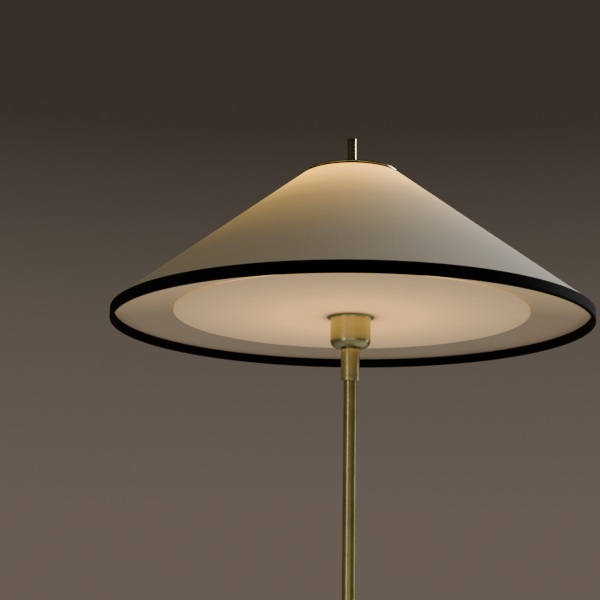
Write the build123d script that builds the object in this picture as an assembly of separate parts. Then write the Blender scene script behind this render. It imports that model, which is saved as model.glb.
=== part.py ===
"""Floor lamp: a conical cloth shade on a slim brass stem with three splayed legs. Millimetres, +Z up.

The origin is on the floor, under the stem's axis. Heights inside the lamp head are counted from the
plane of the shade's bottom rim, and lifted to their place by RIM_Z.
"""

import math
import os

from build123d import *

# Small gaps: a pressed fit, a turned fit, an easy hole, the play at a folded edge, and a cut's overrun.
TIGHT = 0.02
FIT = 0.05
HOLE_PLAY = 0.2
EDGE_PLAY = 0.3
PAST = 1.0

# Shade: an upright hem and a straight cone, its trims, its rings and its lower lining.
RIM_Z = 1290.0
SHADE_BOTTOM_R = 247.5
SHADE_TOP_R = 52.0
SHADE_H = 165.9
COVER_T = 0.8
RIBBON_T = 0.4
RIBBON_OUTSIDE = 11.0
RIBBON_INSIDE = 10.0
BAND_T = 4.0
TOP_TRIM_W = 4.5
STRIP_TOP = 9.9
RING_WIRE_R = 1.0
LINING_T = 0.8
LINING_OUTER = (246.0, 10.3)
LINING_INNER = (179.5, 17.4)

# Spider that carries the shade, and the brass on top of it.
SPIDER_ARMS = 3
SPIDER_ARM_R = 1.2
SPIDER_FIRST_ANGLE = 90.0
SPIDER_HUB_R = 11.0
SPIDER_Z = (161.9, 167.0)
STUD_R = 3.15
STUD_HOLE_R = 3.25
CAP_R = 51.0
CAP_T = 1.2
WASHER_R = 8.0
WASHER_T = 1.0
FINIAL_R = 4.8
FINIAL_TOP = 208.8
FINIAL_HOLE = 16.0
FINIAL_CHAMFER = 0.4
STUD_LENGTH = 13.0

# Diffuser, cup and collar.
DISC_R = 183.7
DISC_HOLE_R = 20.3
DISC_Z = 13.1
DISC_T = 3.0
CUP_R = 21.0
CUP_LIP_R = 24.6
CUP_LIP_T = 0.9
CUP_FLARE_R = 1.6
CUP_CORNER_R = 8.2
CUP_WALL = 1.0
CUP_BOTTOM = -19.8
CUP_HOLE_R = 5.1
COLLAR_R = 9.6
COLLAR_BOTTOM = -54.1
COLLAR_GROOVE = 4.3
GROOVE_DEPTH = 0.3
GROOVE_W = 0.4

# Lampholder and bulb.
HOLDER_R = 19.6
HOLDER_BASE_R = 17.5
HOLDER_BASE_Z = -15.0
HOLDER_FLOOR_Z = -10.2
HOLDER_STEP_Z = 3.8
HOLDER_TOP_Z = 25.8
HOLDER_BORE_R = 14.2
HOLDER_WEB = 1.5
SHELL_R = 13.35
SHELL_Z = (-5.2, 22.8)
CONTACT_R = 3.0
CONTACT_T = 2.6
BULB_CAP_R = 13.05
BULB_CAP_Z = (-7.3, -4.2, 17.8)
BULB_TIP_R = 5.0
BULB_R = 30.0
BULB_CENTRE = 72.8
BULB_NECK_Z = 22.8
BULB_WALL = 1.2

# Saddle, harp and the nut that clamps them with the diffuser.
SADDLE_T = 1.6
SADDLE_W = 12.0
SADDLE_EYE_R = 26.0
NUT_R = 25.0
NUT_T = 5.0
NUT_NOTCHES = 16
NOTCH_R = 1.2
NOTCH_OUT = 0.4
HARP_HALF = 38.0
HARP_WIRE_R = 2.0
HARP_TOP = 155.3
HARP_BEND_R = 24.0
SWIVEL_R = 7.0

# Stem: two tubes, the joiner between them, and the threaded pieces that hold the cup.
STEM_R = 6.75
STEM_BORE_R = 5.6
STEM_TOP = -33.2
BUSH_LENGTH = 30.0
NIPPLE_R = 5.0
NIPPLE_BORE_R = 3.6
NIPPLE_Z = (-58.7, -12.3)
LOCK_NUT_FLATS = 14.0
LOCK_NUT_T = 3.4
JOINT_Z = 760.0
JOINER_REACH = 30.0
JOINER_RING_H = 9.0
JOINER_RING_R = 7.8
CABLE_R = 2.7

# Foot: hub, three legs and their rubber feet.
HUB_R = 28.0
HUB_Z = (300.0, 330.0)
HUB_CONE = 22.0
HUB_CHAMFER = 2.5
CHAMBER_R = 6.0
CHAMBER_TOP = 314.0
LEG_COUNT = 3
LEG_FIRST_ANGLE = -90.0
LEG_SLOPE = 54.0
LEG_R = 5.5
LEG_DEPTH = 11.0
LEG_FACE = 12.0
LEG_END_Z = 6.0
FOOT_R = 8.0
FOOT_LENGTH = 22.0
FOOT_ABOVE = 14.0
FOOT_BOX = 100.0
INLET_Z = 307.0
INLET_R = 4.0
INLET_BORE_R = 3.2
INLET_FLANGE_R = 6.0
INLET_Y = (7.0, 26.5, 29.5)
PLUG_HEAD_R = 9.0
PLUG_HEAD_T = 2.5
PLUG_SHANK = 6.0
GRUB_R = 2.5
GRUB_Z = 322.0
GRUB_SUNK = 1.5
SOCKET_FLATS = 2.5
SOCKET_DEPTH = 3.5
TERMINAL = (7.0, 7.0, 9.0)
TERMINAL_Z = 300.0
WIRE_HOLE_R = 0.9
WIRE_HOLE_UP = 2.0

COVER_R = SHADE_BOTTOM_R - RIBBON_T
CONE_RUN = COVER_R - SHADE_TOP_R
CONE_RISE = SHADE_H - RIBBON_OUTSIDE
SLANT = math.hypot(CONE_RUN, CONE_RISE)
ALONG = (-CONE_RUN / SLANT, CONE_RISE / SLANT)
OUTWARD = (ALONG[1], -ALONG[0])
SADDLE_Z = DISC_Z + DISC_T
CUP_TOP = DISC_Z


def on_cone(along, out):
    """A point (radius, height) along the cone's outer line from the hem, and out from it."""
    radius = COVER_R + along * ALONG[0] + out * OUTWARD[0]
    return radius, RIBBON_OUTSIDE + along * ALONG[1] + out * OUTWARD[1]


def lathe(points):
    """A closed outline of (radius, height) points, turned about the axis."""
    corners = [(radius, 0, height) for radius, height in points]
    return revolve(make_face(Polyline(*corners, close=True)), Axis.Z)


def rod(radius, low, high):
    """A round bar on the axis."""
    bar = Cylinder(radius, high - low, align=(Align.CENTER, Align.CENTER, Align.MIN))
    return Pos(0, 0, low) * bar


def tube(radius, bore, low, high):
    """A round tube on the axis."""
    return rod(radius, low, high) - rod(bore, low - PAST, high + PAST)


def ring_place(along):
    """Radius and height of a wire that lies inside the cover, at a distance along the cone."""
    return on_cone(along, -(COVER_T + RING_WIRE_R + FIT))


def lifted(shape):
    """A piece of the lamp head, moved up to the rim's height."""
    return Pos(0, 0, RIM_Z) * shape


# Shade


def shade_cover():
    """The laminated cloth: an upright hem inside the ribbon, then the cone."""
    inside = COVER_R - COVER_T
    turn_in = (COVER_T - COVER_T * OUTWARD[0]) / -ALONG[0]
    outline = [
        (COVER_R, RIBBON_T + EDGE_PLAY),
        on_cone(0, 0),
        on_cone(SLANT, 0),
        on_cone(SLANT, -COVER_T),
        on_cone(turn_in, -COVER_T),
        (inside, RIBBON_T + EDGE_PLAY),
    ]
    return lathe(outline)


def bottom_trim():
    """The ribbon folded round the rim: an upright U that holds the hem and the flat ring."""
    outer = SHADE_BOTTOM_R
    inner = SHADE_BOTTOM_R - BAND_T
    outline = [
        (outer, 0),
        (outer, RIBBON_OUTSIDE),
        (outer - RIBBON_T, RIBBON_OUTSIDE),
        (outer - RIBBON_T, RIBBON_T),
        (inner + RIBBON_T, RIBBON_T),
        (inner + RIBBON_T, RIBBON_INSIDE),
        (inner, RIBBON_INSIDE),
        (inner, 0),
    ]
    return lathe(outline)


def top_trim():
    """The narrow binding on the cover's upper edge."""
    outline = [
        on_cone(SLANT - TOP_TRIM_W, 0),
        on_cone(SLANT - TOP_TRIM_W, RIBBON_T),
        on_cone(SLANT + RIBBON_T, RIBBON_T),
        on_cone(SLANT + RIBBON_T, -COVER_T),
        on_cone(SLANT, -COVER_T),
        on_cone(SLANT, 0),
    ]
    return lathe(outline)


def bottom_ring():
    """The flat strip that keeps the rim round."""
    outer = COVER_R - COVER_T - FIT
    inner = SHADE_BOTTOM_R - BAND_T + RIBBON_T + FIT
    return tube(outer, inner, RIBBON_T + EDGE_PLAY, STRIP_TOP)


def top_ring():
    """The wire inside the cover's upper edge."""
    radius, height = ring_place(SLANT - 3 * RING_WIRE_R)
    return Pos(0, 0, height) * Torus(radius, RING_WIRE_R)


def lower_lining():
    """The shallow ring that closes the shade between its rim and the diffuser."""
    outer_r, outer_z = LINING_OUTER
    inner_r, inner_z = LINING_INNER
    outline = [
        (outer_r, outer_z),
        (outer_r - LINING_T, outer_z + LINING_T),
        (inner_r, inner_z + LINING_T),
        (inner_r, inner_z),
    ]
    return lathe(outline)


def spider():
    """Hub and arms that hang the shade's top ring on the stud."""
    radius, height = ring_place(SLANT - 3 * RING_WIRE_R)
    inner = SPIDER_HUB_R - 2
    outer = radius - RING_WIRE_R / 2
    body = tube(SPIDER_HUB_R, STUD_HOLE_R + HOLE_PLAY, *SPIDER_Z)
    arm = Cylinder(SPIDER_ARM_R, outer - inner, align=(Align.CENTER, Align.CENTER, Align.MIN))
    arm = Pos(inner, 0, height) * Rot(0, 90, 0) * arm
    for number in range(SPIDER_ARMS):
        body += Rot(0, 0, SPIDER_FIRST_ANGLE + 360 / SPIDER_ARMS * number) * arm
    return body - top_ring()


# Brass on top of the shade


def top_cap():
    """The thin disc that closes the shade's top."""
    low = SPIDER_Z[1]
    return tube(CAP_R, STUD_HOLE_R + HOLE_PLAY, low, low + CAP_T)


def finial_washer():
    """The washer under the finial."""
    low = SPIDER_Z[1] + CAP_T
    return tube(WASHER_R, STUD_HOLE_R + HOLE_PLAY, low, low + WASHER_T)


def finial():
    """The plain rod that screws onto the stud."""
    low = SPIDER_Z[1] + CAP_T + WASHER_T
    body = rod(FINIAL_R, low, FINIAL_TOP)
    body = chamfer(body.edges().group_by(Axis.Z)[-1], FINIAL_CHAMFER)
    return body - rod(STUD_HOLE_R, low - PAST, low + FINIAL_HOLE)


# Diffuser, cup and collar


def diffuser():
    """The opal disc that rests on the cup's lip."""
    return tube(DISC_R, DISC_HOLE_R, DISC_Z, DISC_Z + DISC_T)


def cup_outline(inset):
    """The side's radius, the floor's height and the corner's radius, moved inwards by inset."""
    side = CUP_R - inset
    floor = CUP_BOTTOM + inset
    corner = CUP_CORNER_R - inset
    return side, floor, corner


def holder_cup():
    """The spun brass cup: hole in its floor, rounded corner, straight side and small lip."""
    side, floor, corner = cup_outline(0)
    in_side, in_floor, in_corner = cup_outline(CUP_WALL)
    lip_low = CUP_TOP - CUP_LIP_T
    turn = math.sqrt(0.5)
    centre = (side - corner, floor + corner)
    flare = (side + CUP_FLARE_R, lip_low - CUP_FLARE_R)
    edges = [
        Line((CUP_HOLE_R, 0, floor), (centre[0], 0, floor)),
        ThreePointArc(
            (centre[0], 0, floor),
            (centre[0] + corner * turn, 0, centre[1] - corner * turn),
            (side, 0, centre[1]),
        ),
        Line((side, 0, centre[1]), (side, 0, flare[1])),
        ThreePointArc(
            (side, 0, flare[1]),
            (flare[0] - CUP_FLARE_R * turn, 0, flare[1] + CUP_FLARE_R * turn),
            (flare[0], 0, lip_low),
        ),
        Line((flare[0], 0, lip_low), (CUP_LIP_R, 0, lip_low)),
        Line((CUP_LIP_R, 0, lip_low), (CUP_LIP_R, 0, CUP_TOP)),
        Line((CUP_LIP_R, 0, CUP_TOP), (in_side, 0, CUP_TOP)),
        Line((in_side, 0, CUP_TOP), (in_side, 0, centre[1])),
        ThreePointArc(
            (in_side, 0, centre[1]),
            (centre[0] + in_corner * turn, 0, centre[1] - in_corner * turn),
            (centre[0], 0, in_floor),
        ),
        Line((centre[0], 0, in_floor), (CUP_HOLE_R, 0, in_floor)),
        Line((CUP_HOLE_R, 0, in_floor), (CUP_HOLE_R, 0, floor)),
    ]
    return revolve(make_face(Wire(edges)), Axis.Z)


def collar():
    """The sleeve that hides the stem's top, with one fine groove near its lower end."""
    body = rod(COLLAR_R, COLLAR_BOTTOM, CUP_BOTTOM)
    body -= rod(STEM_R + FIT, COLLAR_BOTTOM - PAST, STEM_TOP)
    body -= rod(NIPPLE_R + FIT, STEM_TOP - PAST, CUP_BOTTOM + PAST)
    groove = COLLAR_BOTTOM + COLLAR_GROOVE
    return body - tube(COLLAR_R + PAST, COLLAR_R - GROOVE_DEPTH, groove, groove + GROOVE_W)


def cup_nut():
    """The hexagon nut that clamps the cup to the collar."""
    low = CUP_BOTTOM + CUP_WALL
    outline = RegularPolygon(LOCK_NUT_FLATS / 2, 6, major_radius=False)
    body = Pos(0, 0, low) * extrude(outline, LOCK_NUT_T)
    return body - rod(NIPPLE_R + FIT, low - PAST, low + LOCK_NUT_T + PAST)


# Lampholder and bulb


def lampholder():
    """The moulded body: a base on the nipple, and a skirt that goes up through the diffuser."""
    body = rod(HOLDER_BASE_R, HOLDER_BASE_Z, HOLDER_STEP_Z)
    body += rod(HOLDER_R, HOLDER_STEP_Z, HOLDER_TOP_Z)
    body -= rod(HOLDER_BORE_R, HOLDER_FLOOR_Z, HOLDER_TOP_Z + PAST)
    body -= rod(NIPPLE_R + FIT, HOLDER_BASE_Z - PAST, NIPPLE_Z[1] + EDGE_PLAY)
    return body - rod(CABLE_R + HOLE_PLAY, HOLDER_BASE_Z, HOLDER_FLOOR_Z - HOLDER_WEB)


def thread_shell():
    """The brass sleeve that the bulb's cap turns in."""
    return tube(HOLDER_BORE_R, SHELL_R, *SHELL_Z)


def centre_contact():
    """The contact on the lampholder's floor."""
    return rod(CONTACT_R, HOLDER_FLOOR_Z, HOLDER_FLOOR_Z + CONTACT_T)


def bulb_cap():
    """The screw cap, with its tapered insulator and tip."""
    tip, skirt, top = BULB_CAP_Z
    outline = [(0, tip), (BULB_TIP_R, tip), (BULB_CAP_R, skirt), (BULB_CAP_R, top), (0, top)]
    return lathe(outline)


def bulb_half(radius, neck, low):
    """One side of the bulb's outline: neck, tangent line, then round to the top."""
    drop = BULB_CENTRE - BULB_NECK_Z
    reach = math.hypot(neck, drop)
    turn = math.atan2(neck, drop) + math.acos(radius / reach)
    touch = (radius * math.sin(turn), BULB_CENTRE - radius * math.cos(turn))
    middle = (turn + math.pi) / 2
    side = (radius * math.sin(middle), BULB_CENTRE - radius * math.cos(middle))
    top = (0, BULB_CENTRE + radius)
    return (neck, low), (neck, BULB_NECK_Z), touch, side, top


def bulb_glass():
    """The opal envelope, open where it is cemented into the cap."""
    low = BULB_CAP_Z[2]
    outer = bulb_half(BULB_R, BULB_CAP_R, low)
    inner = bulb_half(BULB_R - BULB_WALL, BULB_CAP_R - BULB_WALL, low)
    place = [[(radius, 0, height) for radius, height in half] for half in (outer, inner)]
    out, into = place
    edges = [
        Line(out[0], out[1]),
        Line(out[1], out[2]),
        ThreePointArc(out[2], out[3], out[4]),
        Line(out[4], into[4]),
        ThreePointArc(into[4], into[3], into[2]),
        Line(into[2], into[1]),
        Line(into[1], into[0]),
        Line(into[0], out[0]),
    ]
    return revolve(make_face(Wire(edges)), Axis.Z)


# Saddle, harp and swivel


def saddle():
    """The flat strip under the ring nut, with an eye round the lampholder."""
    low = (Align.CENTER, Align.CENTER, Align.MIN)
    strip = Box(2 * HARP_HALF + SADDLE_W, SADDLE_W, SADDLE_T, align=low)
    strip = fillet(strip.edges().filter_by(Axis.Z), SADDLE_W / 2 - 0.5)
    body = Pos(0, 0, SADDLE_Z) * strip + rod(SADDLE_EYE_R, SADDLE_Z, SADDLE_Z + SADDLE_T)
    return body - rod(HOLDER_R + EDGE_PLAY, SADDLE_Z - PAST, SADDLE_Z + SADDLE_T + PAST)


def ring_nut():
    """The ring nut on the lampholder's outside thread, with grip notches."""
    low = SADDLE_Z + SADDLE_T
    body = tube(NUT_R, HOLDER_R + FIT, low, low + NUT_T)
    notch = Pos(NUT_R + NOTCH_OUT, 0, 0) * rod(NOTCH_R, low - PAST, low + NUT_T + PAST)
    for number in range(NUT_NOTCHES):
        body -= Rot(0, 0, 360 / NUT_NOTCHES * number) * notch
    return body


def harp():
    """The wire hoop that goes up round the bulb."""
    low = SADDLE_Z + SADDLE_T
    left = [(-HARP_HALF, 0, low), (-HARP_HALF, 0, HARP_TOP)]
    corners = left + [(HARP_HALF, 0, HARP_TOP), (HARP_HALF, 0, low)]
    path = FilletPolyline(*corners, radius=HARP_BEND_R)
    section = Plane(origin=corners[0], z_dir=(0, 0, 1)) * Circle(HARP_WIRE_R)
    return sweep(section, path)


def harp_swivel():
    """The turned block on the hoop's middle, with the stud that carries the shade."""
    block = rod(SWIVEL_R, HARP_TOP - 2 * HARP_WIRE_R, SPIDER_Z[0] - 2 * FIT)
    stud_top = SPIDER_Z[1] + CAP_T + WASHER_T + STUD_LENGTH
    body = block + rod(STUD_R, HARP_TOP, stud_top)
    hole = Pos(0, 0, HARP_TOP) * Rot(0, 90, 0) * Cylinder(HARP_WIRE_R + TIGHT, 4 * SWIVEL_R)
    return body - hole


# Stem


def stem_tube(low, high):
    """One brass tube of the stem."""
    return tube(STEM_R, STEM_BORE_R, low, high)


def stem_joiner():
    """The coupling between the two tubes, with a slim ring outside."""
    bore = CABLE_R + 1
    inside = tube(STEM_BORE_R - FIT, bore, JOINT_Z - JOINER_REACH, JOINT_Z + JOINER_REACH)
    low = JOINT_Z - JOINER_RING_H / 2
    return inside + tube(JOINER_RING_R, bore, low, low + JOINER_RING_H)


def stem_bush():
    """The threaded bush fixed in the stem's top."""
    return tube(STEM_BORE_R - FIT, NIPPLE_R + TIGHT, STEM_TOP - BUSH_LENGTH, STEM_TOP)


def nipple():
    """The hollow threaded pipe through the bush, collar, cup and lampholder base."""
    return tube(NIPPLE_R, NIPPLE_BORE_R, *NIPPLE_Z)


def inner_cable():
    """The lead inside the stem, from the terminal block to the lampholder."""
    low = TERMINAL_Z + TERMINAL[2] / 2
    return rod(CABLE_R, low, RIM_Z + HOLDER_FLOOR_Z - HOLDER_WEB - FIT)


# Foot


def leg_frame():
    """Where a leg leaves the hub's cone, and its direction, as (radius, height) pairs."""
    across = leg_across()
    face = (HUB_R - across[0] * LEG_FACE, HUB_Z[0] - across[1] * LEG_FACE)
    return face, (across[1], -across[0])


def leg_across():
    """The direction square to a leg, along the hub's cone, as (radius, height)."""
    slope = math.radians(LEG_SLOPE)
    return math.sin(slope), math.cos(slope)


def cone_foot():
    """The lower end of the hub's cone, as (radius, height)."""
    across = leg_across()
    return HUB_R - across[0] * HUB_CONE, HUB_Z[0] - across[1] * HUB_CONE


def leg_angles():
    """The legs' directions about the axis, in degrees."""
    return [LEG_FIRST_ANGLE + 360 / LEG_COUNT * number for number in range(LEG_COUNT)]


def along_leg(radius, start, end):
    """A round bar on a leg's line, in the XZ plane, from start to end past the hub's face."""
    face, down = leg_frame()
    origin = (face[0] + down[0] * start, 0, face[1] + down[1] * start)
    line = Plane(origin=origin, x_dir=(0, 1, 0), z_dir=(down[0], 0, down[1]))
    return line * Cylinder(radius, end - start, align=(Align.CENTER, Align.CENTER, Align.MIN))


def leg_length():
    """The leg's length past the hub's face."""
    face, down = leg_frame()
    return (face[1] - LEG_END_Z) / -down[1]


def leg():
    """One leg, pointing along +X."""
    return along_leg(LEG_R, -LEG_DEPTH, leg_length())


def foot():
    """The rubber foot on one leg, cut level with the floor."""
    end = leg_length()
    body = along_leg(FOOT_R, end - FOOT_ABOVE, end + FOOT_LENGTH)
    body -= along_leg(LEG_R, end - FOOT_LENGTH, end)
    under = (Align.CENTER, Align.CENTER, Align.MAX)
    below = Box(4 * SHADE_BOTTOM_R, FOOT_BOX, FOOT_BOX, align=under)
    return body - below


def hub():
    """The turned block that takes the stem from above and the legs from below."""
    bottom = cone_foot()
    top = HUB_Z[1]
    outline = [
        (0, bottom[1]),
        bottom,
        (HUB_R, HUB_Z[0]),
        (HUB_R, top - HUB_CHAMFER),
        (HUB_R - HUB_CHAMFER, top),
        (0, top),
    ]
    body = lathe(outline)
    body -= rod(CHAMBER_R, bottom[1] - PAST, CHAMBER_TOP + PAST)
    body -= rod(STEM_R + FIT, CHAMBER_TOP, top + PAST)
    for angle in leg_angles():
        body -= Rot(0, 0, angle) * along_leg(LEG_R, -LEG_DEPTH, HUB_R)
    body -= outward_bar(INLET_R, INLET_Z, 0, HUB_R + PAST)
    body -= outward_bar(INLET_FLANGE_R + FIT, INLET_Z, INLET_Y[1], HUB_R + PAST)
    return body - Rot(0, 0, 180) * outward_bar(GRUB_R, GRUB_Z, 0, HUB_R + PAST)


def outward_bar(radius, height, start, end):
    """A round bar along +Y at one height."""
    bar = Cylinder(radius, end - start, align=(Align.CENTER, Align.CENTER, Align.MIN))
    return Pos(0, start, height) * Rot(-90, 0, 0) * bar


def cord_inlet():
    """The flanged bush that the supply cord passes through."""
    inner, seat, outer = INLET_Y
    body = outward_bar(INLET_R, INLET_Z, inner, seat)
    body += outward_bar(INLET_FLANGE_R, INLET_Z, seat, outer)
    return body - outward_bar(INLET_BORE_R, INLET_Z, inner - PAST, outer + PAST)


def hub_plug():
    """The plug that closes the wiring chamber from below."""
    low = cone_foot()[1]
    head = rod(PLUG_HEAD_R, low - PLUG_HEAD_T, low)
    return head + rod(CHAMBER_R - TIGHT, low, low + PLUG_SHANK)


def grub_screw():
    """The screw that holds the stem in the hub, with a hexagon socket."""
    end = HUB_R - GRUB_SUNK
    body = outward_bar(GRUB_R, GRUB_Z, STEM_R + FIT, end)
    socket = extrude(RegularPolygon(SOCKET_FLATS / 2, 6, major_radius=False), SOCKET_DEPTH + PAST)
    body -= Pos(0, end - SOCKET_DEPTH, GRUB_Z) * Rot(-90, 0, 0) * socket
    return Rot(0, 0, 180) * body


def terminal_block():
    """The connector between the supply cord and the inner cable."""
    block = Pos(0, 0, TERMINAL_Z) * Box(*TERMINAL)
    hole = Pos(0, 0, TERMINAL_Z) * Rot(0, 90, 0) * Cylinder(WIRE_HOLE_R, 2 * TERMINAL[0])
    return block - Pos(0, 0, WIRE_HOLE_UP) * hole - Pos(0, 0, -WIRE_HOLE_UP) * hole


def pieces():
    """Every piece by node name."""
    made = {
        "shade_cover": lifted(shade_cover()),
        "bottom_trim": lifted(bottom_trim()),
        "top_trim": lifted(top_trim()),
        "bottom_ring": lifted(bottom_ring()),
        "top_ring": lifted(top_ring()),
        "lower_lining": lifted(lower_lining()),
        "spider": lifted(spider()),
        "top_cap": lifted(top_cap()),
        "finial_washer": lifted(finial_washer()),
        "finial": lifted(finial()),
        "diffuser": lifted(diffuser()),
        "holder_cup": lifted(holder_cup()),
        "collar": lifted(collar()),
        "cup_nut": lifted(cup_nut()),
        "lampholder": lifted(lampholder()),
        "thread_shell": lifted(thread_shell()),
        "centre_contact": lifted(centre_contact()),
        "bulb_cap": lifted(bulb_cap()),
        "bulb_glass": lifted(bulb_glass()),
        "saddle": lifted(saddle()),
        "ring_nut": lifted(ring_nut()),
        "harp": lifted(harp()),
        "harp_swivel": lifted(harp_swivel()),
        "stem_bush": lifted(stem_bush()),
        "nipple": lifted(nipple()),
        "stem_upper": stem_tube(JOINT_Z + JOINER_RING_H / 2, RIM_Z + STEM_TOP),
        "stem_lower": stem_tube(CHAMBER_TOP, JOINT_Z - JOINER_RING_H / 2),
        "stem_joiner": stem_joiner(),
        "inner_cable": inner_cable(),
        "hub": hub(),
        "hub_plug": hub_plug(),
        "cord_inlet": cord_inlet(),
        "grub_screw": grub_screw(),
        "terminal_block": terminal_block(),
    }
    for number, angle in enumerate(leg_angles(), 1):
        made[f"leg_{number}"] = Rot(0, 0, angle) * leg()
        made[f"foot_{number}"] = Rot(0, 0, angle) * foot()
    return made


os.makedirs("parts", exist_ok=True)
for name, shape in pieces().items():
    export_step(shape, f"parts/{name}.step")
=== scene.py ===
# Tripod floor lamp: the finished looks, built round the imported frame. Metres, floor at z = 0.
import bpy
import math
from mathutils import Matrix, Vector


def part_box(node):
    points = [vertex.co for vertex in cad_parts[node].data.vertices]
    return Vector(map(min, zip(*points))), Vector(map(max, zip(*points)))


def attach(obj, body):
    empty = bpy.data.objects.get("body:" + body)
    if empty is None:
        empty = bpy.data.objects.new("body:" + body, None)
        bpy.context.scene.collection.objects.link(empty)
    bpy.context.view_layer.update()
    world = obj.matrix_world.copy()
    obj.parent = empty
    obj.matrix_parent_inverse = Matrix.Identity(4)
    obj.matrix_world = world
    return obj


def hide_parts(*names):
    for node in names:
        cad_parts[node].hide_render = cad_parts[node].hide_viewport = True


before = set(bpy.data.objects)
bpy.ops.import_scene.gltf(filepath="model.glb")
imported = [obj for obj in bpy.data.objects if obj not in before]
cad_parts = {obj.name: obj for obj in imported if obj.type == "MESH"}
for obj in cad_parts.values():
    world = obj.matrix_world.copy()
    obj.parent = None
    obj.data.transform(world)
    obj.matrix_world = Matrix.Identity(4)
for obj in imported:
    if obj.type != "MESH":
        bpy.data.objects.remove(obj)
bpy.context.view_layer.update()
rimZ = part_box("bottom_trim")[0].z
bpy.ops.object.select_all(action="DESELECT")
print("frame loaded, rim at", round(rimZ, 4))


# small helpers for nodes

def addNode(tree, kind, **settings):
    made = tree.nodes.new(kind)
    for name, value in settings.items():
        setattr(made, name, value)
    return made


def feed(tree, socket, value):
    if isinstance(value, bpy.types.NodeSocket):
        tree.links.new(value, socket)
    else:
        socket.default_value = value


def calc(tree, operation, first, second=0.0):
    made = addNode(tree, "ShaderNodeMath", operation=operation)
    feed(tree, made.inputs[0], first)
    feed(tree, made.inputs[1], second)
    return made.outputs[0]


def noise(tree, point, scale, detail=3.0):
    made = addNode(tree, "ShaderNodeTexNoise")
    feed(tree, made.inputs["Vector"], point)
    made.inputs["Scale"].default_value = scale
    made.inputs["Detail"].default_value = detail
    return made.outputs["Fac"]


def stretched(tree, point, factors):
    made = addNode(tree, "ShaderNodeVectorMath", operation="MULTIPLY")
    feed(tree, made.inputs[0], point)
    feed(tree, made.inputs[1], factors)
    return made.outputs[0]


def vectorOf(tree, x, y, z=0.0):
    made = addNode(tree, "ShaderNodeCombineXYZ")
    for socket, value in zip(made.inputs, (x, y, z)):
        feed(tree, socket, value)
    return made.outputs[0]


def spread(tree, value, low, high, toLow, toHigh):
    made = addNode(tree, "ShaderNodeMapRange")
    feed(tree, made.inputs["Value"], value)
    ends = {"From Min": low, "From Max": high, "To Min": toLow, "To Max": toHigh}
    for name, end in ends.items():
        made.inputs[name].default_value = end
    return made.outputs[0]


def mixed(tree, amount, first, second, blend="MIX"):
    made = addNode(tree, "ShaderNodeMix", data_type="RGBA", blend_type=blend)
    feed(tree, made.inputs[0], amount)
    feed(tree, made.inputs[6], first)
    feed(tree, made.inputs[7], second)
    return made.outputs[2]


def ramp(tree, value, stops):
    made = addNode(tree, "ShaderNodeValToRGB")
    band = made.color_ramp
    while len(band.elements) < len(stops):
        band.elements.new(0.5)
    for element, (place, colour) in zip(band.elements, stops):
        element.position = place
        element.color = (*colour, 1)
    feed(tree, made.inputs[0], value)
    return made.outputs["Color"]


def newGroup(name, ins, outs):
    group = bpy.data.node_groups.new(name, "ShaderNodeTree")
    for label, kind in ins:
        group.interface.new_socket(label, in_out="INPUT", socket_type=kind)
    for label, kind in outs:
        group.interface.new_socket(label, in_out="OUTPUT", socket_type=kind)
    return group, addNode(group, "NodeGroupInput"), addNode(group, "NodeGroupOutput")


def useGroup(tree, group, **values):
    made = addNode(tree, "ShaderNodeGroup", node_tree=group)
    for label, value in values.items():
        feed(tree, made.inputs[label], value)
    return made.outputs


number = "NodeSocketFloat"
arrow = "NodeSocketVector"


# effects shared by several finishes

def makeRoundPlace():  # a point's place round the lamp's axis: turn from the front, distance out, height
    group, start, end = newGroup(
        "roundPlace",
        [("Point", arrow)],
        [("Turn", number), ("Out", number), ("Up", number)],
    )
    parts = addNode(group, "ShaderNodeSeparateXYZ")
    feed(group, parts.inputs[0], start.outputs["Point"])
    x, y, z = parts.outputs
    feed(group, end.inputs["Turn"], calc(group, "ARCTAN2", x, calc(group, "MULTIPLY", y, -1.0)))
    squares = calc(group, "ADD", calc(group, "MULTIPLY", x, x), calc(group, "MULTIPLY", y, y))
    feed(group, end.inputs["Out"], calc(group, "SQRT", squares))
    feed(group, end.inputs["Up"], z)
    return group


def makeWeave():  # plain weave with slubs, on flat-cut coordinates in metres
    group, start, end = newGroup(
        "plainWeave",
        [("Across", number), ("Along", number), ("Pitch", number)],
        [("Height", number), ("Thread", number), ("Slub", number)],
    )
    across, along, pitch = start.outputs["Across"], start.outputs["Along"], start.outputs["Pitch"]
    wave = calc(group, "DIVIDE", math.pi, pitch)
    over = calc(group, "SINE", calc(group, "MULTIPLY", across, wave))
    under = calc(group, "SINE", calc(group, "MULTIPLY", along, wave))
    crossing = calc(group, "MULTIPLY", over, under)
    feed(group, end.inputs["Height"], calc(group, "ABSOLUTE", crossing))
    feed(group, end.inputs["Thread"], spread(group, crossing, -1, 1, 0, 1))
    fine, drawnOut = 900.0, 24.0                   # noise steps a metre, over and along a thread

    def threads(acrossSteps, alongSteps):
        steps = (calc(group, "MULTIPLY", across, acrossSteps), calc(group, "MULTIPLY", along, alongSteps))
        return noise(group, vectorOf(group, *steps), 1.0)

    warp, weft = threads(fine, drawnOut), threads(drawnOut, fine)
    feed(group, end.inputs["Slub"], calc(group, "MULTIPLY", calc(group, "ADD", warp, weft), 0.5))
    return group


def makeBrushed():  # fine tool lines, cloudy tone and small marks on metal
    group, start, end = newGroup(
        "brushedMetal",
        [("Point", arrow), ("Lines", arrow)],
        [("Grain", number), ("Cloud", number), ("Spots", number)],
    )
    point = start.outputs["Point"]
    lines = stretched(group, point, start.outputs["Lines"])
    feed(group, end.inputs["Grain"], noise(group, lines, 1.0, 4.0))
    feed(group, end.inputs["Cloud"], noise(group, point, 34.0, 4.0))
    feed(group, end.inputs["Spots"], spread(group, noise(group, point, 420.0, 2.0), 0.62, 0.72, 0, 1))
    return group


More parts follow.
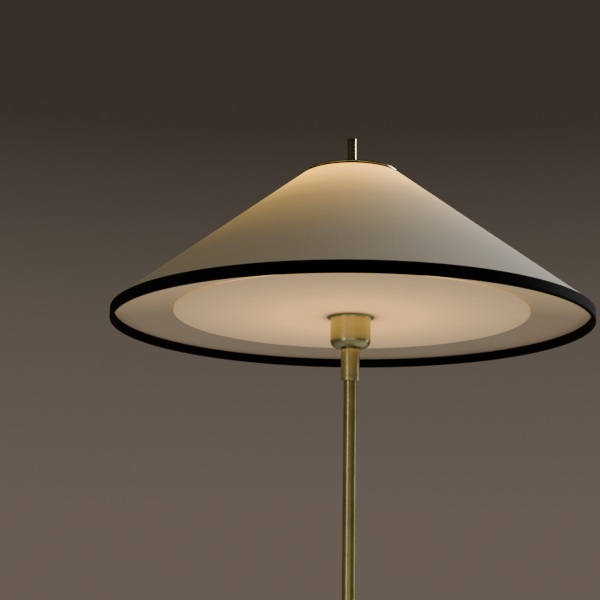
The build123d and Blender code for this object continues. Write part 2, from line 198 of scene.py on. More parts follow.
def makeSoftMarks():  # moulding grain and handling marks on plastic, rubber and paint
    group, start, end = newGroup(
        "softMarks",
        [("Point", arrow)],
        [("Grain", number), ("Patch", number)],
    )
    feed(group, end.inputs["Grain"], noise(group, start.outputs["Point"], 2600.0, 2.0))
    feed(group, end.inputs["Patch"], noise(group, start.outputs["Point"], 60.0, 5.0))
    return group


roundPlace = makeRoundPlace()
plainWeave = makeWeave()
brushedMetal = makeBrushed()
softMarks = makeSoftMarks()
print("shared effects ready")


# finishes

def newFinish(name, **sockets):
    finish = bpy.data.materials.new(name)
    finish.use_nodes = True
    tree = finish.node_tree
    shader = tree.nodes["Principled BSDF"]
    for label, value in sockets.items():
        shader.inputs[label.replace("_", " ")].default_value = value
    point = addNode(tree, "ShaderNodeTexCoord").outputs["Object"]
    return finish, tree, shader, point


def addBump(tree, shader, height, strength, depth):
    made = addNode(tree, "ShaderNodeBump")
    made.inputs["Strength"].default_value = strength
    made.inputs["Distance"].default_value = depth
    feed(tree, made.inputs["Height"], height)
    feed(tree, shader.inputs["Normal"], made.outputs["Normal"])


clothLook = {
    "base": (0.58, 0.525, 0.43),
    "shadow": (0.49, 0.440, 0.35),
    "pitch": 0.0007,
    "sine": 0.7832,                 # the cone's radius over its slant, for the flat cut
    "glow": [                       # by height over the rim, 0 to 1 of the shade's height
        (0.00, (0.036, 0.030, 0.012)),
        (0.28, (0.066, 0.046, 0.014)),
        (0.40, (0.124, 0.078, 0.018)),
        (0.53, (0.215, 0.132, 0.030)),
        (0.66, (0.385, 0.216, 0.042)),
        (0.77, (0.820, 0.435, 0.062)),
        (0.87, (1.740, 0.880, 0.070)),
        (0.95, (2.700, 1.300, 0.080)),
        (1.00, (2.900, 1.400, 0.090)),
    ],
    "height": 0.1659,
}


def makeCloth(look):
    finish, tree, shader, point = newFinish("paleCloth", Roughness=0.9, Specular_IOR_Level=0.25)
    shader.inputs["Sheen Weight"].default_value = 0.08
    shader.inputs["Sheen Roughness"].default_value = 0.5
    place = useGroup(tree, roundPlace, Point=point)
    slant = calc(tree, "DIVIDE", place["Out"], look["sine"])
    unrolled = calc(tree, "MULTIPLY", place["Turn"], look["sine"])
    across = calc(tree, "MULTIPLY", slant, calc(tree, "SINE", unrolled))
    along = calc(tree, "MULTIPLY", slant, calc(tree, "COSINE", unrolled))
    weave = useGroup(tree, plainWeave, Across=across, Along=along, Pitch=look["pitch"])
    slub = spread(tree, weave["Slub"], 0.35, 0.65, 0, 1)
    thread = calc(tree, "MULTIPLY", calc(tree, "ADD", slub, weave["Thread"]), 0.5)
    feed(tree, shader.inputs["Base Color"], mixed(tree, thread, (*look["shadow"], 1), (*look["base"], 1)))
    feed(tree, shader.inputs["Roughness"], spread(tree, slub, 0, 1, 0.96, 0.84))
    up = spread(tree, place["Up"], rimZ, rimZ + look["height"], 0, 1)
    glow = ramp(tree, up, look["glow"])
    threads = mixed(tree, spread(tree, thread, 0, 1, 0.0, 0.14), (1, 1, 1, 1), (0.55, 0.52, 0.46, 1))
    feed(tree, shader.inputs["Emission Color"], mixed(tree, 1.0, glow, threads, "MULTIPLY"))
    shader.inputs["Emission Strength"].default_value = 1.0
    height = calc(tree, "ADD", weave["Height"], calc(tree, "MULTIPLY", slub, 0.6))
    addBump(tree, shader, height, 0.35, 0.0002)
    return finish


liningLook = {
    "base": (0.50, 0.44, 0.35),
    "shadow": (0.43, 0.375, 0.295),
    "pitch": 0.0006,
    "glow": [                       # painted light: dim at the back, brighter round to the front
        (0.00, (0.046, 0.026, 0.012)),
        (0.50, (0.070, 0.040, 0.018)),
        (0.72, (0.260, 0.162, 0.066)),
        (1.00, (0.440, 0.278, 0.110)),
    ],
    "reach": 0.25,
}


def makeLining(look):
    finish, tree, shader, point = newFinish("smoothLining", Roughness=0.85, Specular_IOR_Level=0.2)
    parts = addNode(tree, "ShaderNodeSeparateXYZ")
    feed(tree, parts.inputs[0], point)
    x, y, z = parts.outputs
    weave = useGroup(tree, plainWeave, Across=x, Along=y, Pitch=look["pitch"])
    thread = calc(tree, "MULTIPLY", calc(tree, "ADD", weave["Slub"], weave["Thread"]), 0.5)
    feed(tree, shader.inputs["Base Color"], mixed(tree, thread, (*look["shadow"], 1), (*look["base"], 1)))
    feed(tree, shader.inputs["Roughness"], spread(tree, weave["Slub"], 0.3, 0.7, 0.92, 0.78))
    # painted light: the lining's front is made to glow brighter than its back
    side = spread(tree, y, look["reach"], -look["reach"], 0, 1)
    glow = ramp(tree, side, look["glow"])
    dim = mixed(tree, spread(tree, thread, 0, 1, 0, 0.12), (1, 1, 1, 1), (0.6, 0.56, 0.5, 1))
    feed(tree, shader.inputs["Emission Color"], mixed(tree, 1.0, glow, dim, "MULTIPLY"))
    shader.inputs["Emission Strength"].default_value = 1.0
    addBump(tree, shader, weave["Height"], 0.2, 0.00015)
    return finish


linerLook = {
    "base": (0.70, 0.66, 0.58),
    "shadow": (0.62, 0.58, 0.50),
    "glow": [                       # inside the shade, by height over the rim
        (0.00, (0.300, 0.230, 0.150)),
        (0.35, (0.520, 0.400, 0.260)),
        (1.00, (1.500, 1.050, 0.600)),
    ],
    "height": 0.1659,
}


def makeLiner(look):
    finish, tree, shader, point = newFinish("paleLiner", Roughness=0.6, Specular_IOR_Level=0.3)
    place = useGroup(tree, roundPlace, Point=point)
    marks = useGroup(tree, softMarks, Point=point)
    tone = spread(tree, marks["Patch"], 0.3, 0.7, 0, 1)
    feed(tree, shader.inputs["Base Color"], mixed(tree, tone, (*look["base"], 1), (*look["shadow"], 1)))
    feed(tree, shader.inputs["Roughness"], spread(tree, marks["Patch"], 0.3, 0.7, 0.55, 0.68))
    glow = ramp(tree, spread(tree, place["Up"], rimZ, rimZ + look["height"], 0, 1), look["glow"])
    dim = mixed(tree, spread(tree, tone, 0, 1, 0, 0.1), (1, 1, 1, 1), (0.7, 0.66, 0.6, 1))
    feed(tree, shader.inputs["Emission Color"], mixed(tree, 1.0, glow, dim, "MULTIPLY"))
    shader.inputs["Emission Strength"].default_value = 1.0
    addBump(tree, shader, marks["Grain"], 0.08, 0.00005)
    return finish


opalLook = {
    "base": (0.50, 0.43, 0.34),
    "patch": (0.475, 0.4042, 0.3128),
    "glow": [                       # from the hole out to the edge; the dark stops round the hole are a painted shadow of the cup's lip and ring nut
        (0.000, (0.300, 0.170, 0.060)),
        (0.134, (0.240, 0.130, 0.055)),
        (0.152, (0.560, 0.300, 0.098)),
        (0.176, (0.960, 0.500, 0.138)),
        (0.215, (1.100, 0.575, 0.150)),
        (0.400, (1.090, 0.572, 0.150)),
        (0.580, (0.760, 0.420, 0.135)),
        (0.780, (0.520, 0.312, 0.118)),
        (0.920, (0.415, 0.255, 0.106)),
        (1.000, (0.360, 0.225, 0.100)),
    ],
    "radius": 0.1837,
}


def makeOpal(look):
    finish, tree, shader, point = newFinish("satinOpal", Roughness=0.5, Specular_IOR_Level=0.35)
    place = useGroup(tree, roundPlace, Point=point)
    marks = useGroup(tree, softMarks, Point=point)
    tone = spread(tree, marks["Patch"], 0.3, 0.7, 0.0, 1.0)
    feed(tree, shader.inputs["Base Color"], mixed(tree, tone, (*look["base"], 1), (*look["patch"], 1)))
    feed(tree, shader.inputs["Roughness"], spread(tree, marks["Patch"], 0.3, 0.7, 0.46, 0.58))
    out = spread(tree, place["Out"], 0.0, look["radius"], 0, 1)
    # the glow ramp carries a painted shadow round the hole, cast by the cup's lip and ring nut
    glow = ramp(tree, out, look["glow"])
    cloud = mixed(tree, spread(tree, marks["Patch"], 0.3, 0.7, 0, 0.05), (1, 1, 1, 1), (0.7, 0.66, 0.6, 1))
    feed(tree, shader.inputs["Emission Color"], mixed(tree, 1.0, glow, cloud, "MULTIPLY"))
    shader.inputs["Emission Strength"].default_value = 1.0
    addBump(tree, shader, marks["Grain"], 0.06, 0.00005)
    return finish


ribbonLook = {
    "base": (0.0022, 0.0020, 0.0019),
    "rib": (0.0040, 0.0036, 0.0034),
    "ribs": 1570,                   # radians of rib pattern for each radian round the rim
    "rowPitch": 0.0006,
}


def makeRibbon(look):
    finish, tree, shader, point = newFinish("blackRibbon", Roughness=0.85, Specular_IOR_Level=0.04)
    shader.inputs["Sheen Weight"].default_value = 0.01
    place = useGroup(tree, roundPlace, Point=point)
    ribWave = calc(tree, "SINE", calc(tree, "MULTIPLY", place["Turn"], float(look["ribs"])))
    ribs = spread(tree, ribWave, -1, 1, 0, 1)
    row = calc(tree, "SINE", calc(tree, "MULTIPLY", place["Up"], math.tau / look["rowPitch"]))
    fuzz = noise(tree, point, 900.0)
    feed(tree, shader.inputs["Base Color"], mixed(tree, ribs, (*look["base"], 1), (*look["rib"], 1)))
    feed(tree, shader.inputs["Roughness"], spread(tree, fuzz, 0.3, 0.7, 0.95, 0.75))
    addBump(tree, shader, calc(tree, "ADD", ribs, calc(tree, "MULTIPLY", row, 0.2)), 0.5, 0.0002)
    return finish


brassLook = {
    "bright": (0.52, 0.505, 0.27),
    "deep": (0.45, 0.42, 0.20),
    "spot": (0.22, 0.18, 0.08),
    "rough": (0.26, 0.38),
}
drawnLook = {
    "bright": (0.45, 0.41, 0.19),
    "deep": (0.37, 0.33, 0.14),
    "spot": (0.20, 0.16, 0.07),
    "rough": (0.26, 0.38),
}
# a darker copy of the brass: painted shade for the finial and the top plate
shadedLook = {
    "bright": (0.40, 0.38, 0.19),
    "deep": (0.33, 0.30, 0.14),
    "spot": (0.14, 0.11, 0.05),
    "rough": (0.15, 0.21),
}


def makeBrass(name, lines, look):
    finish, tree, shader, point = newFinish(name, Metallic=1.0, Roughness=0.3)
    metal = useGroup(tree, brushedMetal, Point=point, Lines=lines)
    tone = spread(tree, metal["Cloud"], 0.32, 0.68, 0, 1)
    colour = mixed(tree, tone, (*look["deep"], 1), (*look["bright"], 1))
    grain = spread(tree, metal["Grain"], 0.3, 0.7, 0, 1)
    colour = mixed(tree, calc(tree, "MULTIPLY", grain, 0.15), colour, (*look["bright"], 1))
    colour = mixed(tree, calc(tree, "MULTIPLY", metal["Spots"], 0.35), colour, (*look["spot"], 1))
    feed(tree, shader.inputs["Base Color"], colour)
    rough = calc(tree, "MULTIPLY", calc(tree, "ADD", grain, tone), 0.5)
    feed(tree, shader.inputs["Roughness"], spread(tree, rough, 0, 1, *look["rough"]))
    addBump(tree, shader, metal["Grain"], 0.015, 0.00003)
    return finish


def makeMoulded(name, base, patch, rough, grain):
    finish, tree, shader, point = newFinish(name, Roughness=rough[0])
    marks = useGroup(tree, softMarks, Point=point)
    tone = spread(tree, marks["Patch"], 0.3, 0.7, 0, 1)
    feed(tree, shader.inputs["Base Color"], mixed(tree, tone, (*base, 1), (*patch, 1)))
    feed(tree, shader.inputs["Roughness"], spread(tree, tone, 0, 1, *rough))
    addBump(tree, shader, marks["Grain"], grain, 0.0001)
    return finish


steelLook = {"deep": (0.30, 0.29, 0.28), "bright": (0.42, 0.41, 0.40), "lines": (900.0, 900.0, 60.0)}


def makeSteel(look):
    finish, tree, shader, point = newFinish("plainSteel", Metallic=1.0)
    metal = useGroup(tree, brushedMetal, Point=point, Lines=look["lines"])
    tone = spread(tree, metal["Cloud"], 0.3, 0.7, 0, 1)
    feed(tree, shader.inputs["Base Color"], mixed(tree, tone, (*look["deep"], 1), (*look["bright"], 1)))
    feed(tree, shader.inputs["Roughness"], spread(tree, metal["Grain"], 0.3, 0.7, 0.3, 0.5))
    addBump(tree, shader, metal["Grain"], 0.1, 0.00005)
    return finish


platedLook = {
    "deep": (0.62, 0.62, 0.63),
    "bright": (0.78, 0.78, 0.79),
    "lines": (40.0, 40.0, 1500.0),
    "threadPitch": 0.0036,
}


def makePlated(look):
    finish, tree, shader, point = newFinish("platedCap", Metallic=1.0)
    metal = useGroup(tree, brushedMetal, Point=point, Lines=look["lines"])
    colour = mixed(tree, metal["Cloud"], (*look["deep"], 1), (*look["bright"], 1))
    feed(tree, shader.inputs["Base Color"], colour)
    feed(tree, shader.inputs["Roughness"], spread(tree, metal["Grain"], 0.3, 0.7, 0.2, 0.4))
    up = useGroup(tree, roundPlace, Point=point)["Up"]
    thread = calc(tree, "SINE", calc(tree, "MULTIPLY", up, math.tau / look["threadPitch"]))
    addBump(tree, shader, thread, 0.6, 0.0006)
    return finish


bulbLook = {"base": (0.85, 0.80, 0.72), "cool": (0.70, 0.50, 0.28), "warm": (1.9, 1.35, 0.78)}


def makeBulb(look):
    finish, tree, shader, point = newFinish("opalGlass", Roughness=0.25)
    shader.inputs["Base Color"].default_value = (*look["base"], 1)
    marks = useGroup(tree, softMarks, Point=point)
    low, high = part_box("bulb_glass")
    up = spread(tree, useGroup(tree, roundPlace, Point=point)["Up"], low.z, high.z, 0, 1)
    glow = mixed(tree, up, (*look["cool"], 1), (*look["warm"], 1))
    feed(tree, shader.inputs["Emission Color"], glow)
    shader.inputs["Emission Strength"].default_value = 1.0
    feed(tree, shader.inputs["Roughness"], spread(tree, marks["Patch"], 0.3, 0.7, 0.2, 0.32))
    return finish


lathed = (50.0, 50.0, 2600.0)                      # tool lines round a turned piece
pulled = (2400.0, 2400.0, 5.0)                     # tool lines along a drawn tube
moulded = {                                        # base, patch, roughness range, grain
    "black": ("blackPlastic", (0.018, 0.017, 0.016), (0.028, 0.027, 0.026), (0.38, 0.55), 0.3),
    "rubber": ("darkRubber", (0.012, 0.012, 0.012), (0.022, 0.021, 0.020), (0.75, 0.9), 0.6),
    "white": ("whiteWire", (0.66, 0.65, 0.62), (0.60, 0.58, 0.54), (0.35, 0.5), 0.15),
    "sheath": ("paleSheath", (0.52, 0.50, 0.47), (0.46, 0.44, 0.40), (0.45, 0.6), 0.2),
}
finish = {
    "cloth": makeCloth(clothLook),
    "lining": makeLining(liningLook),
    "opal": makeOpal(opalLook),
    "ribbon": makeRibbon(ribbonLook),
    "turned": makeBrass("turnedBrass", lathed, brassLook),
    "drawn": makeBrass("drawnBrass", pulled, drawnLook),
    "shaded": makeBrass("shadedBrass", lathed, shadedLook),
    "liner": makeLiner(linerLook),
    "plate": makePlated(platedLook),
    "steel": makeSteel(steelLook),
    "bulb": makeBulb(bulbLook),
}
for look, values in moulded.items():
    finish[look] = makeMoulded(*values)
print("finishes ready:", len(finish))


# turning a piece from its outline

def clearSelection():
    if bpy.context.object and bpy.context.object.mode != "OBJECT":
        bpy.ops.object.mode_set(mode="OBJECT")
    bpy.ops.object.select_all(action="DESELECT")


def turnPiece(name, outline, sides=160, angle=32):  # outline: (radius, height) round the section
    clearSelection()
    radius, height = outline[0]
    bpy.ops.mesh.primitive_circle_add(vertices=sides, radius=radius, location=(0, 0, 0))
    piece = bpy.context.object
    piece.name = name
    bpy.ops.object.mode_set(mode="EDIT")
    bpy.ops.mesh.select_all(action="SELECT")
    bpy.ops.transform.translate(value=(0, 0, height))
    for nextRadius, nextHeight in outline[1:]:
        bpy.ops.mesh.extrude_region_move(TRANSFORM_OT_translate={"value": (0, 0, nextHeight - height)})
        grow = nextRadius / radius
        bpy.ops.transform.resize(value=(grow, grow, 1), center_override=(0, 0, nextHeight))
        radius, height = nextRadius, nextHeight
    bpy.ops.mesh.select_all(action="DESELECT")
    bpy.ops.mesh.select_non_manifold(
        extend=False,
        use_wire=False,
        use_boundary=True,
        use_multi_face=False,
        use_non_contiguous=False,
        use_verts=False,
    )
    bpy.ops.mesh.bridge_edge_loops()
    bpy.ops.mesh.select_all(action="SELECT")
    bpy.ops.mesh.normals_make_consistent(inside=False)
    bpy.ops.object.mode_set(mode="OBJECT")
    bpy.ops.object.shade_smooth_by_angle(angle=math.radians(angle))
    return piece


def arc(centre, radius, start, end, steps):  # points on a corner, angles in degrees from outwards
    points = []
    for step in range(steps + 1):
        turn = math.radians(start + (end - start) * step / steps)
        points.append((centre[0] + radius * math.cos(turn), centre[1] + radius * math.sin(turn)))
    return points


def between(first, last, steps):  # points strictly between two, to divide a long straight wall
    run, rise = last[0] - first[0], last[1] - first[1]
    return [(first[0] + run * step / steps, first[1] + rise * step / steps) for step in range(1, steps)]


def lifted(points):
    return [(radius, height + rimZ) for radius, height in points]


def dress(piece, look, body, slotName, *nodes):
    piece.data.materials.clear()
    piece.data.materials.append(look)
    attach(piece, body)
    if nodes:
        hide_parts(*nodes)
    return piece


# cloth cone

cover = {
    "radius": 0.2471,
    "topRadius": 0.0520,
    "hemLow": 0.0007,
    "hemTop": 0.0110,
    "top": 0.1659,
    "thick": 0.0008,
    "rows": 22,
    "sides": 256,
}


def makeCover(c):
    run, rise = c["radius"] - c["topRadius"], c["top"] - c["hemTop"]
    slant = math.hypot(run, rise)
    inX, inZ = c["thick"] * rise / slant, c["thick"] * run / slant
    edge, tip = (c["radius"], c["hemTop"]), (c["topRadius"], c["top"])
    inEdge, inTip = (edge[0] - c["thick"], edge[1] - inZ * 0.55), (tip[0] - inX, tip[1] - inZ)
    wall, fold = c["radius"], c["hemTop"]
    outline = [(wall, c["hemLow"]), (wall, fold * 0.5), (wall, fold - 0.0006)]
    outline += [(wall - 0.00012, fold + 0.00005)]
    outline += between(edge, tip, c["rows"]) + [tip, inTip]
    outline += between(inTip, inEdge, c["rows"]) + [inEdge, (inEdge[0], c["hemLow"])]
    return turnPiece("shadeCover", lifted(outline), c["sides"], 25)


shadeCover = dress(makeCover(cover), finish["cloth"], "shade", "cloth", "shade_cover")
shadeCover.data.materials.append(finish["liner"])
for face in shadeCover.data.polygons:              # the pale liner is the inner face of the laminated cloth
    outward = face.normal.x * face.center.x + face.normal.y * face.center.y
    face.material_index = 1 if outward < 0 else 0
print("cloth cone made")


# ribbon round the rim and binding round the top

ribbon = {
    "outer": 0.2475,
    "inner": 0.2435,
    "outsideTop": 0.0110,
    "insideTop": 0.0100,
    "thick": 0.0004,
    "fold": 0.0012,
}


def makeBottomTrim(r):
    t, f = r["thick"], r["fold"]
    outline = [(r["outer"] - t, r["outsideTop"] - 0.0001), (r["outer"] - t * 0.5, r["outsideTop"])]
    outline += [(r["outer"], r["outsideTop"] - 0.0002), (r["outer"], r["outsideTop"] * 0.5)]
    outline += arc((r["outer"] - f, f), f, 0, -90, 5)
    outline += arc((r["inner"] + f, f), f, -90, -180, 5)
    outline += [(r["inner"], r["insideTop"] * 0.5), (r["inner"], r["insideTop"] - 0.0002)]
    outline += [(r["inner"] + t * 0.5, r["insideTop"]), (r["inner"] + t, r["insideTop"] - 0.0001)]
    outline += arc((r["inner"] + f, f), f - t, -180, -90, 4)
    outline += arc((r["outer"] - f, f), f - t, -90, 0, 4)
    return turnPiece("bottomTrim", lifted(outline), 256, 40)


bottomTrim = dress(makeBottomTrim(ribbon), finish["ribbon"], "shade", "ribbon", "bottom_trim")

binding = {"radius": 0.0520, "top": 0.1659, "width": 0.0045, "thick": 0.0004, "cloth": 0.0008}


def makeTopTrim(b):
    run, rise = cover["radius"] - b["radius"], b["top"] - cover["hemTop"]
    slant = math.hypot(run, rise)
    downX, downZ = run / slant, -rise / slant      # down the cone
    outX, outZ = rise / slant, run / slant         # away from the cloth

    def at(down, out):
        return b["radius"] + downX * down + outX * out, b["top"] + downZ * down + outZ * out

    t, w, c = b["thick"], b["width"], b["cloth"]
    outline = [at(w, 0), at(w + 0.00005, t * 0.6), at(w - 0.0002, t), at(w * 0.5, t * 1.1), at(0.0001, t)]
    outline += [at(-t * 0.8, t * 0.5), at(-t, 0), at(-t, -c * 0.6), at(-t * 0.7, -c), at(0, -c), at(0, 0)]
    return turnPiece("topTrim", lifted(outline), 160, 50)


topTrim = dress(makeTopTrim(binding), finish["ribbon"], "shade", "ribbon", "top_trim")
print("ribbons made")


# joins at the back, cut from the finished pieces so that they follow them

lap = {"thick": 0.00035, "reach": 0.03, "facing": 0.3}


def makeJoin(name, source, halfWidth, lowest, look, slotName):
    clearSelection()
    join = source.copy()
    join.data = source.data.copy()
    bpy.context.scene.collection.objects.link(join)
    join.name = name
    join.parent = None
    join.matrix_world = Matrix.Identity(4)
    for key in [key for key in join.keys() if key.startswith("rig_")]:
        del join[key]
    join.select_set(True)
    bpy.context.view_layer.objects.active = join
    bpy.context.tool_settings.mesh_select_mode = (False, False, True)
    for face in join.data.polygons:
        outside = face.normal.y > lap["facing"] and face.center.y > 0
        near = abs(face.center.x) < lap["reach"] and face.center.z > rimZ + lowest
        face.select = not (outside and near)
    bpy.ops.object.mode_set(mode="EDIT")
    bpy.ops.mesh.delete(type="FACE")
    bpy.ops.mesh.select_mode(type="VERT")
    for side in (-1, 1):
        bpy.ops.mesh.select_all(action="SELECT")
        bpy.ops.mesh.bisect(plane_co=(side * halfWidth, 0, 0), plane_no=(side, 0, 0), clear_outer=True)
    bpy.ops.object.mode_set(mode="OBJECT")
    wall = join.modifiers.new("wall", "SOLIDIFY")
    wall.thickness = lap["thick"]
    wall.offset = 1
    bpy.ops.object.modifier_apply(modifier="wall")
    bpy.ops.object.shade_smooth_by_angle(angle=math.radians(35))
    return dress(join, look, "shade", slotName)


coverJoin = makeJoin("coverJoin", shadeCover, 0.0055, 0.0112, finish["cloth"], "cloth")
ribbonJoin = makeJoin("ribbonJoin", bottomTrim, 0.0070, -0.01, finish["ribbon"], "ribbon")
print("joins made")


# lining under the shade

lining = {
    "outer": (0.2460, 0.0103),
    "inner": (0.1799, 0.01745),
    "thick": 0.0007,
    "sag": 0.0005,
    "rows": 12,
    "bead": 0.0004,
    "bevel": 0.0008,                # keeps the upper edge clear of the hem
}


def makeLiningRing(ring):
    low, high = [], []
    (outRadius, outHeight), (inRadius, inHeight) = ring["outer"], ring["inner"]
    for step in range(ring["rows"] + 1):
        part = step / ring["rows"]
        radius = outRadius + (inRadius - outRadius) * part
        height = outHeight + (inHeight - outHeight) * part
        height += ring["sag"] * math.sin(math.pi * part) * 0.5
        low.append((radius, height))
        high.append((radius - (ring["bevel"] if step == 0 else 0), height + ring["thick"]))
    edgeRadius, edgeLow = low[-1]
    bead = arc((edgeRadius, edgeLow + ring["thick"] * 0.5), ring["bead"], -90, -270, 6)
    return turnPiece("lowerLining", lifted(low[:-1] + bead + high[-2::-1]), 256, 35)


lowerLining = dress(makeLiningRing(lining), finish["lining"], "shade", "lining", "lower_lining")
print("lining made")


# opal disc

disc = {"radius": 0.1837, "hole": 0.0203, "low": 0.0131, "thick": 0.0030, "round": 0.0008}


def makeDisc(d):
    top, edge = d["low"] + d["thick"], d["round"]
    outline = arc((d["radius"] - edge, d["low"] + edge), edge, -90, 0, 4)
    outline += arc((d["radius"] - edge, top - edge), edge, 0, 90, 4)
    outline += between((d["radius"] - edge, top), (d["hole"] + edge, top), 6)
    outline += arc((d["hole"] + edge, top - edge), edge, 90, 180, 3)
    outline += arc((d["hole"] + edge, d["low"] + edge), edge, 180, 270, 3)
    outline += between((d["hole"] + edge, d["low"]), (d["radius"] - edge, d["low"]), 6)
    return turnPiece("opalDisc", lifted(outline), 224, 40)


opalDisc = dress(makeDisc(disc), finish["opal"], "stand", "opal", "diffuser")
print("disc made")


# brass cup, collar, finial and top plate

cup = {
    "radius": 0.0210,
    "wall": 0.0010,
    "corner": 0.0082,
    "floor": -0.0198,
    "hole": 0.0051,
    "lip": 0.0246,
    "flare": 0.0016,
    "top": 0.0131,
    "lipThick": 0.0009,
}


def makeCup(c):
    r, k, floor = c["radius"], c["corner"], c["floor"]
    inR, inK, inFloor = r - c["wall"], k - c["wall"], floor + c["wall"]
    lipLow, half = c["top"] - c["lipThick"], c["lipThick"] / 2
    outline = [(c["hole"], floor)] + between((c["hole"], floor), (r - k, floor), 3)
    outline += arc((r - k, floor + k), k, -90, 0, 14)
    outline += between((r, floor + k), (r, lipLow - c["flare"]), 6)
    outline += arc((r + c["flare"], lipLow - c["flare"]), c["flare"], 180, 90, 6)
    outline += arc((c["lip"] - half, c["top"] - half), half, -90, 90, 6)
    outline += arc((inR + half, c["top"] - half), half, 90, 180, 4)
    outline += between((inR, c["top"] - half), (inR, floor + k), 5)
    outline += arc((r - k, floor + k), inK, 0, -90, 10)
    outline += [(c["hole"], inFloor)]
    return turnPiece("holderCup", lifted(outline), 160, 40)


holderCup = dress(makeCup(cup), finish["turned"], "stand", "brass", "holder_cup")

sleeve = {
    "radius": 0.0096,
    "low": -0.0541,
    "top": -0.01982,
    "bore": 0.0068,
    "smallBore": 0.00505,
    "step": -0.0332,
    "groove": -0.0498,
    "grooveWidth": 0.0005,
    "grooveDepth": 0.00035,
    "edge": 0.0005,
}


def makeCollar(s):
    r, e, g, w = s["radius"], s["edge"], s["groove"], s["grooveWidth"]
    outline = [(s["bore"], s["low"]), (r - e, s["low"])] + arc((r - e, s["low"] + e), e, -60, 0, 3)
    deep, grooveTop = r - s["grooveDepth"], (r, g + w + 0.0001)
    outline += [(r, g - 0.0001), (deep, g + w * 0.2), (deep, g + w * 0.8), grooveTop]
    outline += between(grooveTop, (r, s["top"] - e), 6)
    outline += arc((r - e, s["top"] - e), e, 0, 90, 3)
    outline += [(s["smallBore"], s["top"]), (s["smallBore"], s["step"]), (s["bore"], s["step"])]
    return turnPiece("collarSleeve", lifted(outline), 128, 30)


collarSleeve = dress(makeCollar(sleeve), finish["turned"], "stand", "brass", "collar")

rod = {
    "radius": 0.0048,
    "low": 0.1692,
    "high": 0.2088,
    "edge": 0.0004,
    "hole": 0.00325,
    "deep": 0.0160,
    "point": 0.00005,               # closes the section at the axis
}


def makeFinial(f):
    r, e, point, bottom = f["radius"], f["edge"], f["point"], f["low"] + f["deep"]
    outline = [(point, f["high"]), (r * 0.5, f["high"])] + arc((r - e, f["high"] - e), e, 90, 0, 4)
    outline += between((r, f["high"] - e), (r, f["low"] + e), 8)
    outline += arc((r - e, f["low"] + e), e, 0, -90, 3)
    outline += [(f["hole"], f["low"]), (f["hole"], bottom), (point, bottom + f["hole"])]
    return turnPiece("finialRod", lifted(outline), 96, 32)


# the finial takes the darker brass, painted shade
finialRod = dress(makeFinial(rod), finish["shaded"], "finial", "brass", "finial")

plate = {"radius": 0.0510, "hole": 0.00345, "low": 0.16703, "thick": 0.00117, "edge": 0.0004}


def makePlate(p):
    high, e = p["low"] + p["thick"], p["edge"]
    crisp = e * 0.15
    outline = [(p["radius"] - crisp, p["low"]), (p["radius"], p["low"] + crisp)]
    outline += arc((p["radius"] - e, high - e), e, 0, 90, 3)
    outline += between((p["radius"] - e, high), (p["hole"], high), 5)
    outline += [(p["hole"], high), (p["hole"], p["low"])]
    outline += between((p["hole"], p["low"]), (p["radius"] - crisp, p["low"]), 5)
    return turnPiece("topPlate", lifted(outline), 160, 32)


# the top plate takes the darker brass, painted shade
topPlate = dress(makePlate(plate), finish["shaded"], "top_seat", "brass", "top_cap")
print("brass pieces made")


# rubber feet: one is made on the +X line, then copied round

rubberFoot = {
    "legEnd": (0.22680, 0.0060),
    "slope": 54,
    "above": 0.0140,
    "below": 0.0200,
    "radius": 0.0080,
    "bore": 0.0055,
    "ridges": 3,
    "firstRidge": 0.0035,
    "ridgePitch": 0.0028,
}


def makeFoot(f):
    r, up = f["radius"], f["above"]
    outline = [(f["bore"], up), (r - 0.0010, up), (r - 0.0003, up - 0.0004), (r, up - 0.0012)]
    for ridge in range(f["ridges"]):               # shallow grip grooves round the upper half
        z = up - f["firstRidge"] - ridge * f["ridgePitch"]
        outline += [(r, z + 0.0006), (r - 0.0005, z + 0.0002), (r - 0.0005, z - 0.0002), (r, z - 0.0006)]
    outline += [(r, -0.004), (r, -f["below"]), (f["bore"], -f["below"]), (f["bore"], -0.0001)]
    foot = turnPiece("rubberFoot1", outline, 72, 32)
    lean = math.radians(90 - f["slope"])
    place = Matrix.Translation((f["legEnd"][0], 0, f["legEnd"][1]))
    foot.data.transform(place @ Matrix.Rotation(-lean, 4, "Y"))
    bpy.ops.object.mode_set(mode="EDIT")
    bpy.ops.mesh.select_all(action="SELECT")
    bpy.ops.mesh.bisect(plane_co=(0, 0, 0), plane_no=(0, 0, -1), clear_outer=True, use_fill=True)
    bpy.ops.mesh.select_all(action="SELECT")
    bpy.ops.mesh.normals_make_consistent(inside=False)
    bpy.ops.object.mode_set(mode="OBJECT")
    bpy.ops.object.shade_smooth_by_angle(angle=math.radians(32))
    return foot


feet = [makeFoot(rubberFoot)]
for count in (2, 3):
    foot = feet[0].copy()
    foot.data = feet[0].data.copy()
    foot.name = "rubberFoot" + str(count)
    bpy.context.scene.collection.objects.link(foot)
    feet.append(foot)
for count, foot in enumerate(feet):
    foot.data.transform(Matrix.Rotation(math.radians(-90 + 120 * count), 4, "Z"))
    dress(foot, finish["rubber"], "stand", "foot_rubber", "foot_" + str(count + 1))
print("feet made")


# finishes on the CAD nodes that stay

kept = {
    "turned": "finial_washer cup_nut thread_shell centre_contact ring_nut harp_swivel"
              " stem_bush nipple stem_joiner hub hub_plug",
    "drawn": "stem_upper stem_lower leg_1 leg_2 leg_3 saddle harp",
    "plate": "bulb_cap",
    "steel": "grub_screw",
    "black": "lampholder terminal_block cord_inlet",
    "white": "top_ring bottom_ring spider",
    "sheath": "inner_cable",
    "bulb": "bulb_glass",
}
for look, names in kept.items():
    for name in names.split():
        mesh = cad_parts[name].data
        mesh.materials.clear()
        mesh.materials.append(finish[look])

# camera, floor and light

camera = {
    "lens": 68.4,
    "distance": 1.1640,             # in front of the lamp's axis
    "drop": 0.2280,                 # under the rim
    "yaw": 2.61,
    "pitch": 12.54,
    "roll": 1.00,
}


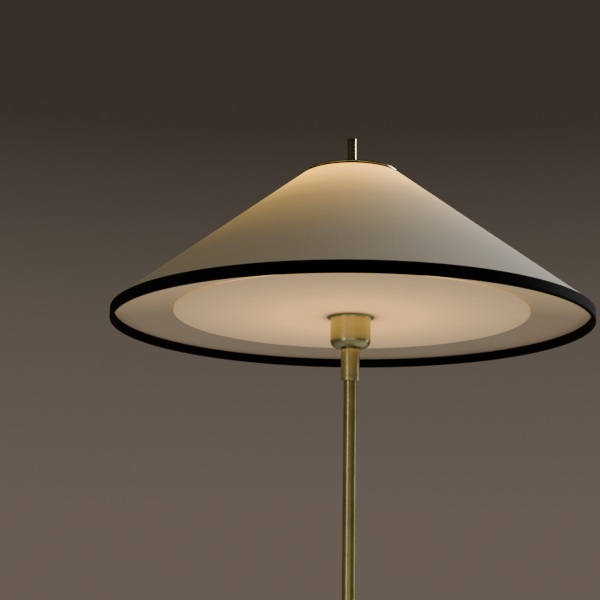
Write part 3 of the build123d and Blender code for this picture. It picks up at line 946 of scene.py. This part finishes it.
def makeCamera(c):
    data = bpy.data.cameras.new("mainCamera")
    data.lens = c["lens"]
    data.sensor_width = 36
    data.clip_start = 0.02
    item = bpy.data.objects.new("mainCamera", data)
    bpy.context.scene.collection.objects.link(item)
    place = Matrix.Translation((0, -c["distance"], rimZ - c["drop"]))
    turn = Matrix.Rotation(math.radians(c["yaw"]), 4, "Z")
    tilt = Matrix.Rotation(math.radians(90 + c["pitch"]), 4, "X")
    roll = Matrix.Rotation(math.radians(c["roll"]), 4, "Z")
    item.matrix_world = place @ turn @ tilt @ roll
    bpy.context.scene.camera = item


makeCamera(camera)

floorLook = {"size": 12, "base": (0.58, 0.55, 0.50), "patch": (0.55, 0.52, 0.47)}


def makeFloor(f):
    clearSelection()
    bpy.ops.mesh.primitive_plane_add(size=f["size"])
    floor = bpy.context.object
    floor.name = "studioFloor"
    floor.data.materials.append(makeMoulded("floorPaint", f["base"], f["patch"], (0.7, 0.85), 0.1))


makeFloor(floorLook)

studio = {
    "backdrop": [                   # from straight down to straight up
        (0.00, (0.150, 0.122, 0.100)),
        (0.52, (0.142, 0.114, 0.092)),
        (0.60, (0.110, 0.090, 0.073)),
        (0.68, (0.047, 0.038, 0.030)),
        (1.00, (0.042, 0.035, 0.028)),
    ],
}
lights = {
    "windowRight": {
        "at": (2.4, 1.5, 3.0),
        "look": (0, 0, 1.3),
        "size": (1.3, 1.3),
        "power": 130,
        "colour": (0.90, 0.95, 1.0),
    },
    "softRight": {
        "at": (2.2, 0.9, 1.35),
        "look": (0, 0, 1.3),
        "size": (0.5, 1.6),
        "power": 5,
        "colour": (1.0, 0.96, 0.86),
    },
    "stripLeft": {
        "at": (-1.15, -1.45, 1.1),
        "look": (0, 0, 1.2),
        "size": (0.25, 1.6),
        "power": 5,
        "colour": (1.0, 0.93, 0.82),
    },
    "lowFill": {
        "at": (0.3, -2.6, 0.6),
        "look": (0, 0, 0.8),
        "size": (2.0, 1.0),
        "power": 4,
        "colour": (1.0, 0.98, 0.95),
    },
}


def makeLights():
    world = bpy.data.worlds.new("studioWorld")
    bpy.context.scene.world = world
    world.use_nodes = True
    tree = world.node_tree
    parts = addNode(tree, "ShaderNodeSeparateXYZ")
    feed(tree, parts.inputs[0], addNode(tree, "ShaderNodeTexCoord").outputs["Generated"])
    height = spread(tree, parts.outputs[2], -1, 1, 0, 1)
    feed(tree, tree.nodes["Background"].inputs["Color"], ramp(tree, height, studio["backdrop"]))
    for name, spec in lights.items():
        data = bpy.data.lights.new(name, "AREA")
        data.shape = "RECTANGLE"
        data.size, data.size_y = spec["size"]
        data.energy = spec["power"]
        data.color = spec["colour"]
        item = bpy.data.objects.new(name, data)
        bpy.context.scene.collection.objects.link(item)
        item.location = spec["at"]
        away = Vector(spec["at"]) - Vector(spec["look"])
        item.rotation_euler = away.to_track_quat("Z", "Y").to_euler()


makeLights()
print("camera, floor and light ready")
